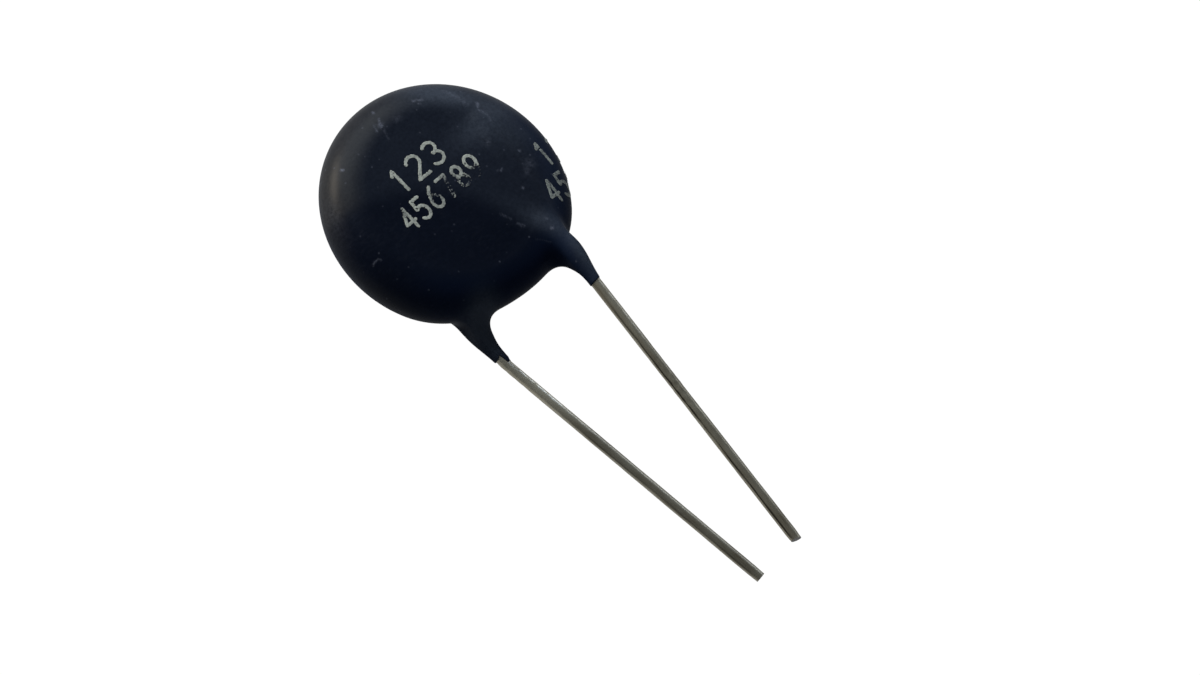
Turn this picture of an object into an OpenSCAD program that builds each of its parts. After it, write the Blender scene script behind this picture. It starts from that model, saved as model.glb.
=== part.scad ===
// Disc thermistor with two straight radial leads, lying on its rear face as it comes to rest.
// Millimetres. +Z is up and is the component's front. The leads point towards -Y.
// The pieces are modelled in the disc's own frame (disc axis on Z, leads down -Y) and laid down last.

/* [Ceramic element] */
// Diameter of the sintered ceramic disc
disc_d = 19.5; // [18:0.1:20.2]
// Thickness of the ceramic disc
disc_t = 3.9; // [3.5:0.05:4.3]
// Ground chamfer on the ceramic's two rims
disc_chamfer = 0.2; // [0.05:0.05:0.4]

/* [Electrodes] */
// Bare ceramic left between the fired silver's edge and the disc's
electrode_margin = 0.7; // [0.4:0.05:1]
// Thickness of the fired silver
electrode_t = 0.05; // [0.03:0.01:0.1]

/* [Leads] */
// Diameter of the tinned copper wire
lead_d = 1; // [0.8:0.05:1]
// Solder film between the electrode and the wire
solder_film = 0.08; // [0.05:0.01:0.15]
// Left wire where it leaves the coating, sideways from the disc's centre
rear_mouth_x = -5.27; // [-5.6:0.01:-4.8]
// Left neck, from the coating's edge straight down to its mouth
rear_neck_l = 2.15; // [1.8:0.05:2.7]
// Left wire's upper end, as a share of the disc's radius above its centre
rear_top = 0.41; // [0.21:0.02:0.49]
// Right wire where it leaves the coating, sideways from the disc's centre
front_mouth_x = 3.95; // [3.5:0.01:4.3]
// Right neck, from the coating's edge straight down to its mouth
front_neck_l = 2.85; // [2.4:0.05:3.3]
// Right wire's upper end, as a share of the disc's radius above its centre
front_top = 0.33; // [0.11:0.02:0.41]
// Lean of the right wire inside the coating, its top end outwards
front_lean = 8.5; // [6:0.1:9]
// Angle of the right wire's bend, just inside the coating
front_bend = 1.7; // [0.5:0.1:4]
// Angle of the left wire's bend, just outside the coating
rear_bend = 6.7; // [3:0.1:8]
// Bend radius of the wires' centre lines
bend_r = 3; // [2:0.1:5]
// Distance from the right mouth up to its bend
front_bend_in = 0.3; // [0.1:0.05:0.5]
// Distance from the left mouth down to its bend
rear_bend_out = 0.15; // [0.05:0.05:0.5]
// Straight length of the right wire beyond its bend
front_free_l = 28.9; // [20:0.1:32]
// Straight length of the left wire beyond its bend
rear_free_l = 28.7; // [20:0.1:32]

/* [Solder] */
// Solder over the wire, measured at the top of the run
solder_wall = 0.07; // [0.03:0.01:0.1]
// Length of the solder run along the wire, as a share of the disc's diameter
solder_share = 0.51; // [0.4:0.01:0.55]
// Solder beyond the wire's inner end
solder_over = 0.8; // [0.5:0.1:1.2]
// Cone at each end of the solder run
solder_cone = 0.6; // [0.4:0.1:0.8]

/* [Coating] */
// Resin beyond the ceramic's edge
coat_wall = 1.5; // [1.35:0.05:1.7]
// Resin over each face of the ceramic
face_wall = 1.25; // [1.15:0.05:1.35]
// Distance from the edge over which the rim rounds over
rim_reach = 3.6; // [3.2:0.1:4]
// Depth by which the rim is drawn flat between the two leads
rim_flat = 0.85; // [0.3:0.05:0.9]
// Direction of the middle of that flat, from straight down
rim_flat_mid = -6; // [-8:0.5:0]
// Half width of that flat
rim_flat_half = 42; // [36:1:46]
// Resin round a wire where it crosses the rim
ridge_wall = 0.42; // [0.4:0.01:0.5]
// Depth by which a ridge sinks again on the disc's face
ridge_sink = 0.2; // [0.1:0.05:0.25]
// Resin round the left wire at its mouth
rear_mouth_wall = 0.12; // [0.08:0.01:0.2]
// Resin round the right wire at its mouth
front_mouth_wall = 0.07; // [0.05:0.01:0.16]
// Length over which the left neck tapers
rear_taper = 3.6; // [3:0.1:4.5]
// Length over which the right neck tapers
front_taper = 3.4; // [3:0.1:4.5]
// Reach of the blend between a ridge and the disc's face
face_blend = 1.6; // [1.2:0.1:1.9]
// Reach of the blend between a neck and the rim, on the side between the leads
web_blend_in = 1.9; // [1.6:0.1:2.4]
// Reach of the same blend on a neck's outer side
web_blend_out = 1.3; // [1:0.1:1.6]
// Height of a web from its wire towards the disc's middle plane
web_lift = 2.6; // [2:0.1:3]

/* [Hidden] */
$fn = 96;

disc_r = disc_d / 2;
electrode_r = disc_r - electrode_margin;
coat_r = disc_r + coat_wall;
core_r = coat_r - rim_reach;
rim_h = disc_t / 2 + face_wall;
lead_r = lead_d / 2;
face_z = disc_t / 2 + electrode_t;
lead_z = face_z + solder_film + lead_r;
ridge_r = lead_r + ridge_wall;
rear_mouth_r = lead_r + rear_mouth_wall;
front_mouth_r = lead_r + front_mouth_wall;
rear_mouth_y = -coat_r - rear_neck_l;
front_mouth_y = -coat_r - front_neck_l;
rear_top_y = rear_top * disc_r;
front_inner_l = (front_top * disc_r - front_mouth_y) / cos(front_lean);
solder_r = solder_film + lead_d + solder_wall;
solder_l = solder_share * disc_d;
search = 5;
rear_mouth = [rear_mouth_x, rear_mouth_y, -lead_z];
front_mouth = [front_mouth_x, front_mouth_y, lead_z];

// Columns and rows of the coating's skin
neck_cols = 14;
neck_half = neck_cols / 2;
gap_cols = 8;
back_cols = 65;
neck_out_w = 2.06;
neck_in_w = 1.47;
neck_span_out = neck_out_w / coat_r * 180 / PI;
neck_span_in = neck_in_w / coat_r * 180 / PI;
face_shares = [0.165, 0.306, 0.447, 0.588, 0.729, 0.859];
face_rings = [for (share = face_shares) share * core_r];
rim_turns = [0, 18, 36, 54, 72, 90];
side_rows = 3;
corner_rows = 2;
neck_rows = 7;
base_row = side_rows + corner_rows;
last_row = base_row + neck_rows;
ring_count = len(face_rings) + len(rim_turns);
last_ring = ring_count - 1;
start_ring = last_ring - side_rows;
halvings = 19;
// Band, inwards from the coating's edge, over which the wider blend comes in
web_start = 3.5;
web_end = 0;

// A soft minimum, which joins two surfaces with a fillet
function soft_min(a, b, k) =
    let (h = max(k - abs(a - b), 0) / k)
    min(a, b) - h * h * k / 4;

// 0 below the first value, 1 above the second, smooth between
function ease(from, to, x) =
    let (t = min(max((x - from) / (to - from), 0), 1))
    t * t * (3 - 2 * t);

// Radius of the rim in the direction th, from straight down towards +X
function rim_at(th) = coat_r - rim_flat * (1 - ease(0, rim_flat_half, abs(th - rim_flat_mid)));

// Distance to the round-rimmed disc, less than 0 inside
function disc_field(p) =
    let (out = max(norm([p.x, p.y]) - core_r, 0))
    norm([out * rim_h / (rim_at(atan2(p.x, -p.y)) - core_r), p.z]) - rim_h;

// Distances up a wire from its mouth, and across it
function along(p, mouth, angle) =
    let (dx = p.x - mouth.x,
         dy = p.y - mouth.y)
    [dx * sin(angle) + dy * cos(angle), dx * cos(angle) - dy * sin(angle)];

// Distance to the tapered sleeve round a wire, which fills towards the middle plane as it nears the disc
function sleeve_field(at, z, mouth, inner_l, mouth_r, taper) =
    let (r = mouth_r + (ridge_r - mouth_r) * ease(0, taper, at.x)
             - ridge_sink * ease(taper, 2 * taper, at.x),
         lift = web_lift * ease(0.3 * taper, 1.5 * taper, at.x),
         inwards = (mouth.z - z) * sign(mouth.z))
    norm([at.y, max(at.x - inner_l, 0), min(inwards, 0) + max(inwards - lift, 0)]) - r;

// Reach of the blend at a distance across a wire, towards the other wire
function blend_at(across, rho) =
    let (wide = web_blend_out + (web_blend_in - web_blend_out) * ease(-1, 1, across))
    face_blend + (wide - face_blend) * ease(coat_r - web_start, coat_r - web_end, rho);

// The coating's skin is where this is zero
function field(p) =
    let (rho = norm([p.x, p.y]),
         rear_at = along(p, rear_mouth, 0),
         front_at = along(p, front_mouth, front_lean),
         rear = sleeve_field(rear_at, p.z, rear_mouth, rear_top_y - rear_mouth_y, rear_mouth_r, rear_taper),
         front = sleeve_field(front_at, p.z, front_mouth, front_inner_l, front_mouth_r, front_taper))
    soft_min(soft_min(disc_field(p), rear, blend_at(rear_at.y, rho)), front, blend_at(-front_at.y, rho));

// Where the skin is crossed between an inner and an outer point
function crossing(inner, outer, n = halvings) =
    n == 0 ? (inner + outer) / 2 :
    let (m = (inner + outer) / 2)
    field(m) < 0 ? crossing(m, outer, n - 1) : crossing(inner, m, n - 1);

// Height at which the line through x, y is deepest inside the coating
function deepest(x, y, lo, hi, n) =
    n == 0 ? (lo + hi) / 2 :
    let (a = hi - 0.618 * (hi - lo),
         b = lo + 0.618 * (hi - lo))
    field([x, y, a]) < field([x, y, b]) ? deepest(x, y, lo, b, n - 1) : deepest(x, y, a, hi, n - 1);

function mid_height(x, y) =
    let (step = lead_z / 4,
         f = [for (i = [-4:4]) field([x, y, i * step])],
         best = min(f),
         i = [for (j = [0:8]) if (f[j] == best) j - 4][0])
    deepest(x, y, (i - 1) * step, (i + 1) * step, 13);

// Outline of the coating seen along Z, on the line from a towards b
function outline(a, b, n = 17) =
    n == 0 ? (a + b) / 2 :
    let (m = (a + b) / 2,
         z = mid_height(m.x, m.y))
    field([m.x, m.y, z]) < 0 ? outline(m, b, n - 1) : outline(a, m, n - 1);

// Places along the left ridge, and its depth below the disc's middle plane once tilted
ridge_points = [for (y = [rear_mouth_y + 0.5:0.5:rear_top_y], x = [-0.6:0.1:0.2])
    let (at = rear_mouth_x + x)
    [at, crossing([at, y, -rim_h], [at, y, -search]).z]];
function lowest_ridge(tilt) = max([for (p = ridge_points) p.x * sin(tilt) - p.y * cos(tilt)]);

// Tilt between lo and hi at which the ridge and the far side of the rim are equally low
function level(lo, hi, n = 24) =
    n == 0 ? (lo + hi) / 2 :
    let (m = (lo + hi) / 2)
    lowest_ridge(m) > core_r * sin(m) + rim_h * cos(m) ? level(m, hi, n - 1) : level(lo, m, n - 1);

// Lowest Y of a wire's cut end
function wire_low(mouth, lean, out, bend, free_l) =
    let (x = bend_r * (1 - cos(bend)) + free_l * sin(bend),
         y = -out - bend_r * sin(bend) - free_l * cos(bend))
    mouth.y - x * sin(lean) + y * cos(lean) - lead_r * abs(sin(lean - bend));

// Laying down: the left ridge and the right-hand rim touch the table.
rest_tilt = level(0, 10);
rest_drop = lowest_ridge(rest_tilt);
tip_y = min(wire_low(front_mouth, front_lean, -front_bend_in, front_bend, front_free_l),
            wire_low(rear_mouth, 0, rear_bend_out, rear_bend, rear_free_l));
mid_y = (coat_r + tip_y) / 2;

// Directions of the columns, from straight down towards +X
function way(th) = [sin(th), -cos(th)];
function flat(p) = [p.x, p.y];
function cross_dir(mouth, angle, r) =
    let (e = [sin(angle), cos(angle)],
         b = flat(mouth) * e,
         c = flat(mouth) * flat(mouth) - r * r)
    flat(mouth) + e * (-b - sqrt(b * b - c));
function angle_of(p) = atan2(p.x, -p.y);
function run(from, to, n) = [for (i = [1:n]) from + (to - from) * i / (n + 1)];

rear_dir = angle_of(cross_dir(rear_mouth, 0, coat_r - rim_flat / 3));
front_dir = angle_of(cross_dir(front_mouth, front_lean, coat_r - rim_flat / 3));
rear_from = rear_dir - neck_span_out;
rear_to = rear_dir + neck_span_in;
front_from = front_dir - neck_span_in;
front_to = front_dir + neck_span_out;
columns = concat(rear_from, run(rear_from, rear_to, neck_cols - 1), rear_to,
                 run(rear_to, front_from, gap_cols),
                 front_from, run(front_from, front_to, neck_cols - 1), front_to,
                 run(front_to, rear_from + 360, back_cols));
column_count = len(columns);
rear_first = 0;
front_first = neck_cols + 1 + gap_cols;
function wrapped(th) = th > 180 ? th - 360 : th;
function in_neck(j) = (j > rear_first && j < rear_first + neck_cols)
    || (j > front_first && j < front_first + neck_cols);

// A ring's turn round the rim, and the radius that it turns about
function turn_of(i) = i < len(face_rings) ? 0 : rim_turns[i - len(face_rings)];
function core_of(i) = i < len(face_rings) ? face_rings[i] : core_r;

function skin_at(x, y, side) = crossing([x, y, mid_height(x, y)], [x, y, side * search]);

function ring_point(side, i, j) =
    let (th = columns[j],
         turn = turn_of(i),
         u = way(th),
         c = core_of(i),
         out = c + (rim_at(wrapped(th)) - core_r) * sin(turn))
    i > start_ring && in_neck(j) ? [0, 0, 0] :
    in_neck(j) ? skin_at(u.x * out, u.y * out, side) :
    crossing([u.x * c, u.y * c, 0],
             [u.x * (c + search * sin(turn)), u.y * (c + search * sin(turn)), side * search * cos(turn)]);

ring_base = 2;
function ring_id(side, i, j) =
    ring_base + (side < 0 && i < last_ring ? ring_count * column_count : 0) + i * column_count + j;

// Strip down a neck: its first row is part of a ring, and its ends follow the outline
end_base = ring_base + (2 * ring_count - 1) * column_count;
ends_per_neck = 2 * (last_row - side_rows);
strip_base = end_base + 2 * ends_per_neck;
function strip_id(q, side, k, c) =
    let (j = (q == 0 ? rear_first : front_first) + c)
    k == 0 ? ring_id(side, start_ring, j) :
    c > 0 && c < neck_cols
        ? strip_base + ((q * 2 + (side > 0 ? 0 : 1)) * last_row + k - 1) * (neck_cols - 1) + c - 1 :
    k <= side_rows ? ring_id(side, start_ring + k, j) :
    end_base + q * ends_per_neck + (k - side_rows - 1) * 2 + (c == 0 ? 0 : 1);

function mouth_of(q) = q == 0 ? rear_mouth : front_mouth;
function splay_of(q) = q == 0 ? 0 : front_lean;
function mouth_r_of(q) = q == 0 ? rear_mouth_r : front_mouth_r;
function first_of(q) = q == 0 ? rear_first : front_first;
function rim_point(j) = way(columns[j]) * rim_at(wrapped(columns[j]));
function inner_point(j) =
    way(columns[j]) * (core_r + (rim_at(wrapped(columns[j])) - core_r) * sin(turn_of(start_ring)));

// Middle of a strip's row
function row_mid(q, k) =
    let (a = inner_point(first_of(q) + neck_half),
         c = cross_dir(mouth_of(q), splay_of(q), rim_at(columns[first_of(q) + neck_half])),
         m = flat(mouth_of(q)))
    k <= base_row ? a + (c - a) * 0.97 * k / base_row : c + (m - c) * (k - base_row) / neck_rows;

// End of a strip's row, on the outline. The sign s is -1 for the -X end.
function row_end(q, k, s) =
    let (m = row_mid(q, k),
         angle = splay_of(q),
         across = [cos(angle), -sin(angle)] * s,
         j = first_of(q) + (s < 0 ? 0 : neck_cols),
         near = first_of(q) + neck_half + s * floor(neck_cols / 4),
         side_line = flat(mouth_of(q)) + across * ridge_r * 1.04,
         corner = cross_dir([side_line.x, side_line.y, 0], angle, rim_at(columns[near])),
         aim = k <= base_row ? rim_point(j) + (corner - rim_point(j)) * (k - side_rows) / (corner_rows + 0.6)
             : m + across * ridge_r,
         way_out = (aim - m) / norm(aim - m),
         p = k == last_row ? m + across * mouth_r_of(q)
             : outline(m, m + way_out * (norm(aim - m) + 0.9)))
    [p.x, p.y, k == last_row ? mouth_of(q).z : mid_height(p.x, p.y)];

function row_points(q, k, ends) =
    let (m = row_mid(q, k),
         v = max(0, (k - side_rows) / (last_row - side_rows)),
         mix = pow(v, 0.6),
         j = first_of(q),
         a = inner_point(j + neck_half),
         sag = max(0, 1 - k / base_row))
    [for (c = [1:neck_cols - 1])
        let (lin = c / neck_half - 1,
             u = lin * (1 - mix) - cos(180 * c / neck_cols) * mix,
             e = flat(u < 0 ? ends[0] : ends[1]),
             ring_end = inner_point(u < 0 ? j : j + neck_cols),
             bow = inner_point(j + c) - a - (ring_end - a) * abs(lin))
        m + (e - m) * abs(u) + bow * sag];

function row_ends(q, k) =
    k > side_rows ? [row_end(q, k, -1), row_end(q, k, 1)] :
    let (i = start_ring + k)
    [ring_point(1, i, first_of(q)), ring_point(1, i, first_of(q) + neck_cols)];

function round_point(q, c, side) =
    let (angle = splay_of(q),
         turn = 180 * c / neck_cols)
    mouth_of(q) + mouth_r_of(q) * [-cos(turn) * cos(angle), cos(turn) * sin(angle), side * sin(turn)];

function skin_points() =
    let (ends = [for (q = [0, 1]) [for (k = [1:last_row]) row_ends(q, k)]],
         rows = [for (q = [0, 1]) [for (k = [1:last_row]) row_points(q, k, ends[q][k - 1])]])
    concat(
        [crossing([0, 0, 0], [0, 0, search])],
        [crossing([0, 0, 0], [0, 0, -search])],
        [for (i = [0:last_ring], j = [0:column_count - 1]) ring_point(1, i, j)],
        [for (i = [0:last_ring - 1], j = [0:column_count - 1]) ring_point(-1, i, j)],
        [for (q = [0, 1], k = [side_rows + 1:last_row], s = [0, 1]) ends[q][k - 1][s]],
        [for (q = [0, 1], side = [1, -1], k = [1:last_row], c = [1:neck_cols - 1])
            k == last_row ? round_point(q, c, side) :
            skin_at(rows[q][k - 1][c - 1].x, rows[q][k - 1][c - 1].y, side)]);

// A four-sided cell as two triangles, seen from outside on either side of the disc
function cell(a, b, c, d, side) = side > 0 ? [[a, c, b], [a, d, c]] : [[a, b, c], [a, c, d]];

function ring_faces(side) =
    [for (j = [0:column_count - 1])
        let (n = (j + 1) % column_count,
             a = side > 0 ? 0 : 1)
        side > 0 ? [a, ring_id(side, 0, n), ring_id(side, 0, j)] : [a, ring_id(side, 0, j), ring_id(side, 0, n)]];

function band_faces(side) =
    [for (i = [1:last_ring], j = [0:column_count - 1])
        let (n = (j + 1) % column_count)
        if (i <= start_ring || !(in_neck(j) || in_neck(n)))
            each cell(ring_id(side, i - 1, j), ring_id(side, i, j),
                      ring_id(side, i, n), ring_id(side, i - 1, n), side)];

function strip_faces(q, side) =
    [for (k = [1:last_row], c = [0:neck_cols - 1])
        each cell(strip_id(q, side, k - 1, c), strip_id(q, side, k, c),
                  strip_id(q, side, k, c + 1), strip_id(q, side, k - 1, c + 1), side)];

function mouth_face(q) =
    [concat([for (c = [0:neck_cols]) strip_id(q, 1, last_row, c)],
            [for (c = [neck_cols - 1:-1:1]) strip_id(q, -1, last_row, c)])];

module skin() {
    polyhedron(
        points = skin_points(),
        faces = concat(ring_faces(1), ring_faces(-1), band_faces(1), band_faces(-1),
                       strip_faces(0, 1), strip_faces(0, -1), strip_faces(1, 1), strip_faces(1, -1),
                       mouth_face(0), mouth_face(1)),
        convexity = 6);
}

// Lays the component on its rear side, with its lowest point on the table
module at_rest() {
    translate([0, -mid_y, rest_drop])
        rotate([0, rest_tilt, 0])
            children();
}

module ceramic_body() {
    translate([0, 0, -disc_t / 2])
        rotate_extrude()
            polygon([
                [0, 0],
                [disc_r - disc_chamfer, 0],
                [disc_r, disc_chamfer],
                [disc_r, disc_t - disc_chamfer],
                [disc_r - disc_chamfer, disc_t],
                [0, disc_t]
            ]);
}

module electrode_body(side) {
    translate([0, 0, side * (disc_t / 2 + electrode_t / 2)])
        cylinder(r = electrode_r, h = electrode_t, center = true);
}

// A straight wire with one bend towards +X, at the distance out below its mouth
module wire(mouth, lean, inner_l, out, bend, free_l) {
    translate(mouth)
        rotate([0, 0, -lean])
            translate([0, -out, 0]) {
                rotate([-90, 0, 0])
                    cylinder(r = lead_r, h = inner_l + out);
                translate([bend_r, 0, 0])
                    rotate([0, 0, 180])
                        rotate_extrude(angle = bend)
                            translate([bend_r, 0])
                                circle(r = lead_r);
                translate([bend_r * (1 - cos(bend)), -bend_r * sin(bend), 0])
                    rotate([90, 0, bend])
                        cylinder(r = lead_r, h = free_l);
            }
}

module front_wire() {
    wire(front_mouth, front_lean, front_inner_l, -front_bend_in, front_bend, front_free_l);
}

module rear_wire() {
    wire(rear_mouth, 0, rear_top_y - rear_mouth_y, rear_bend_out, rear_bend, rear_free_l);
}

// A run of solder on the electrode, with its top end beyond the wire's end
module solder_bulk(side, top, angle) {
    intersection() {
        translate([top.x, top.y, side * face_z])
            rotate([0, 0, -angle])
                rotate([90, 0, 0])
                    translate([0, 0, -solder_over])
                        rotate_extrude()
                            polygon([
                                [0, 0],
                                [solder_r - solder_cone, 0],
                                [solder_r, solder_cone],
                                [solder_r, solder_l - solder_cone],
                                [solder_r - solder_cone, solder_l],
                                [0, solder_l]
                            ]);
        translate([-coat_r, -coat_r, side > 0 ? face_z : -face_z - search])
            cube([2 * coat_r, 2 * coat_r, search]);
    }
}

module front_solder_bulk() {
    solder_bulk(1, front_mouth + front_inner_l * [sin(front_lean), cos(front_lean), 0], front_lean);
}

module rear_solder_bulk() {
    solder_bulk(-1, [rear_mouth_x, rear_top_y, -lead_z], 0);
}

module resin_coating() {
    color([0.07, 0.08, 0.13])
        at_rest()
            difference() {
                skin();
                ceramic_body();
                electrode_body(1);
                electrode_body(-1);
                front_solder_bulk();
                rear_solder_bulk();
                front_wire();
                rear_wire();
            }
}

module ceramic_disc() {
    color([0.2, 0.19, 0.18])
        at_rest()
            ceramic_body();
}

module front_electrode() {
    color([0.8, 0.8, 0.78])
        at_rest()
            electrode_body(1);
}

module rear_electrode() {
    color([0.8, 0.8, 0.78])
        at_rest()
            electrode_body(-1);
}

module front_solder() {
    color([0.62, 0.62, 0.64])
        at_rest()
            difference() {
                front_solder_bulk();
                front_wire();
            }
}

module rear_solder() {
    color([0.62, 0.62, 0.64])
        at_rest()
            difference() {
                rear_solder_bulk();
                rear_wire();
            }
}

module front_lead() {
    color([0.66, 0.64, 0.6])
        at_rest()
            front_wire();
}

module rear_lead() {
    color([0.66, 0.64, 0.6])
        at_rest()
            rear_wire();
}

resin_coating();
ceramic_disc();
front_electrode();
rear_electrode();
front_solder();
rear_solder();
front_lead();
rear_lead();
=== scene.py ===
"""Looks of the disc thermistor, built round its packed solids.

The panel's sizes are metres. The working is in millimetres in the disc's own frame:
the disc's axis is Z, its printed front is +Z, and the wires run down towards -Y.
"""

import math
from collections import namedtuple

import bmesh
import bpy
import numpy as np
from bpy.props import FloatProperty, FloatVectorProperty, IntProperty, PointerProperty, StringProperty
from mathutils import Matrix, Vector


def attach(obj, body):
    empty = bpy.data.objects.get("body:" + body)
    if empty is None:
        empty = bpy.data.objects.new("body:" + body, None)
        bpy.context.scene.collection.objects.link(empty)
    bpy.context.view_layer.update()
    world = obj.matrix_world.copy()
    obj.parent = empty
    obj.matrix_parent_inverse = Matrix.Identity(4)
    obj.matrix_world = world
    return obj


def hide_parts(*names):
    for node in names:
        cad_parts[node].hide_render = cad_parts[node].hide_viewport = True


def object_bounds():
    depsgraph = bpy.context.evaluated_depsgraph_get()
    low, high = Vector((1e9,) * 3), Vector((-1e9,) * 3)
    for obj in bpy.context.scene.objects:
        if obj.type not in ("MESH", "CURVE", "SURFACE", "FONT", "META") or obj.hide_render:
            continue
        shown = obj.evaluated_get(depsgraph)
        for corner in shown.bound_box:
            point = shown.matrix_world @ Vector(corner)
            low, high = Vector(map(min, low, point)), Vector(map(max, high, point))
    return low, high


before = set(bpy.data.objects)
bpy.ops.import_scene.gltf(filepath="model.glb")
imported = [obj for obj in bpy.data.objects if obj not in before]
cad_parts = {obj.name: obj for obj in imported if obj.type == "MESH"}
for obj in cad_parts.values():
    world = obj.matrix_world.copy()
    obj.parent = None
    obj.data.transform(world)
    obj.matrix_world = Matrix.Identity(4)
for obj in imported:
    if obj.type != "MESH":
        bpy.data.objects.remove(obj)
CAD_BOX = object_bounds()

bl_info = {
    "name": "Disc thermistor looks",
    "version": (1, 0, 0),
    "blender": (4, 5, 0),
    "location": "View3D > Sidebar > Thermistor",
    "description": "Dipped coating, ink stamp, tinned wires and studio for a disc thermistor",
    "category": "Object",
}

MM = 1000.0


# -------- sizes and colours


def maker(kind, **fixed):
    """Declares one kind of property from its default and label, which is its name and description."""
    return lambda default, label: kind(name=label, description=label, default=default, **fixed)


length = maker(FloatProperty, unit="LENGTH", precision=5)
pair = maker(FloatVectorProperty, size=2, unit="LENGTH", precision=5)
share = maker(FloatProperty, min=0.0, max=1.0, subtype="FACTOR")
colour = maker(FloatVectorProperty, subtype="COLOR", size=3, min=0, max=1)
direction = maker(FloatVectorProperty, subtype="DIRECTION", size=3)
digits = maker(StringProperty)


def angle(degrees, label):
    """An angle, given in degrees."""
    return maker(FloatProperty, unit="ROTATION")(math.radians(degrees), label)


def angles(degrees, label):
    """Two angles, given in degrees."""
    return maker(FloatVectorProperty, size=2, unit="ROTATION")([math.radians(d) for d in degrees], label)


class ThermistorPose(bpy.types.PropertyGroup):
    """How the part lies on its rear side"""

    tilt: angle(2.00625, "Turn about Y, onto the rear ridge and rim")
    lift: length(0.00346585, "Height of the disc's middle")
    shift: length(CAD_BOX[1][1] - 0.01125, "Disc's middle from the part's middle")


class ThermistorCoating(bpy.types.PropertyGroup):
    """The dipped resin skin (pairs are left and right)"""

    diameter: length(0.0225, "Diameter over the coating")
    thickness: length(0.0064, "Thickness of the rounded rim")
    wire_height: length(0.00258, "Wires' height over the middle plane")
    flat: length(0.00085, "Depth of the flat between the wires")
    flat_middle: angle(-7.0, "Turn of the flat from straight down")
    flat_half: angle(56.0, "Half of the flat's width")
    ridge: length(0.00092, "Radius of the resin over a wire")
    mouth: pair((0.00062, 0.00057), "Radius of the resin at the mouths")
    taper: pair((0.0036, 0.0034), "Length of the necks' taper")
    sink: pair((0.0002, 0.00084), "Sinking of the ridges on the face")
    rim_reach: length(0.0036, "Width of the rim's rounding")
    crown: length(0.00012, "Crown of the printed face")
    face_blend: length(0.0016, "Fillet between a ridge and the face")
    web_blend_in: length(0.0017, "Fillet between the necks")
    web_blend_out: length(0.001, "Fillet on a neck's outer side")
    web_lift: length(0.00258, "Webs' height towards the middle plane")
    mesh_step: length(0.000122, "Size of the skin's facets")
    base: colour((0.0021, 0.0041, 0.0108), "Colour of the resin")
    # Painted sheen: the pale colour laid on where the lamps' sheen and light fall
    painted_sheen: colour((0.0215, 0.0264, 0.0368), "Colour of the pale bloom")
    # Painted highlight: the warm colour of the upper left edge's highlight
    warm_highlight_colour: colour((0.034, 0.032, 0.027), "Colour of the left edge's bloom")
    # Also the colour of the painted highlight arcs on the upper right rim
    worn: colour((0.11, 0.12, 0.16), "Colour of rubbed and dusty resin")
    roughness: share(0.37, "Satin gloss of the resin")
    gloss: share(0.075, "Strength of the resin's reflections")


class ThermistorLeads(bpy.types.PropertyGroup):
    """The two tinned wires (pairs are left and right)"""

    diameter: length(0.001, "Diameter of the wire")
    x: pair((-0.00527, 0.00395), "Mouths, sideways from the disc's middle")
    y: pair((-0.0134, -0.0141), "Mouths, up from the disc's middle")
    lean: angles((0.0, 8.5), "Lean inside the coating")
    inner: pair((0.0173975, 0.0175099), "Length inside the coating")
    out: pair((0.00015, -0.0003), "Mouth down to the bend")
    bend: angles((6.7, 1.7), "Bend")
    free: pair((0.0287, 0.0289), "Length beyond the bend")
    bend_radius: length(0.003, "Radius of both bends")
    ring_step: length(0.00011, "Step between the tube's rings")
    sides: maker(IntProperty, min=12, max=96)(40, "Sides of the tube")
    dent: length(0.00002, "Depth of the nicks in the tin")
    tin: colour((0.3, 0.282, 0.225), "Colour of the clean tin")
    tarnish: colour((0.15, 0.128, 0.09), "Colour of the dull tin")


class ThermistorStamp(bpy.types.PropertyGroup):
    """The printed digits"""

    top_line: digits("123", "Plain digits of the top line")
    low_line: digits("456789", "Plain digits of the low line")
    stroke: length(0.0003, "Width of a printed stroke")
    film: length(0.000012, "Thickness of the ink")
    cell: length(0.000036, "Size of the ink film's facets")
    ink: colour((0.46, 0.48, 0.425), "Colour of the ink")


class ThermistorStage(bpy.types.PropertyGroup):
    """Camera, lamps and floor"""

    view: direction((0.4411, 0.1217, -0.8889), "View in the disc's own frame")
    right: direction((0.68176, -0.69087, 0.24366), "Picture's right in the disc's own frame")
    distance: length(0.725, "Camera to the part")
    across: length(0.013428, "Camera's axis, right of the disc's middle")
    down: length(0.011552, "Camera's axis, below it")
    lens: maker(FloatProperty)(250.0, "Focal length in millimetres")


# -------- shared working


def ease(start, end, value):
    """0 before start, 1 after end, smooth between."""
    t = np.clip((value - start) / (end - start), 0.0, 1.0)
    return t * t * (3.0 - 2.0 * t)


def soft_min(a, b, reach):
    """The lesser of two distances, with a fillet of that reach."""
    h = np.maximum(reach - np.abs(a - b), 0.0) / reach
    return np.minimum(a, b) - h * h * reach / 4.0


def soft_max(a, b, reach):
    """The greater of two distances, with a rounded edge of that reach."""
    return -soft_min(-a, -b, reach)


def hump(x, y, place):
    """A smooth swell of height 1. Its place is x, y, length, width and turn in degrees."""
    px, py, long, wide, turn = place
    c, s = math.cos(math.radians(turn)), math.sin(math.radians(turn))
    u, v = (x - px) * c + (y - py) * s, (y - py) * c - (x - px) * s
    return np.exp(-((2 * u / long) ** 2) - (2 * v / wide) ** 2)


def lattice_noise(u, v, cell, seed):
    """Smooth noise from 0 to 1 over a plane, with a fixed seed."""
    side, shift = 128, 40.0
    table = np.random.default_rng(seed).random((side, side))
    a, b = u / cell + shift, v / cell + shift
    i, j = np.floor(a).astype(int), np.floor(b).astype(int)
    s, t = ease(0, 1, a - i), ease(0, 1, b - j)
    low, high = (table[i % side, k % side] * (1 - s) + table[(i + 1) % side, k % side] * s for k in (j, j + 1))
    return low * (1 - t) + high * t


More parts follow.
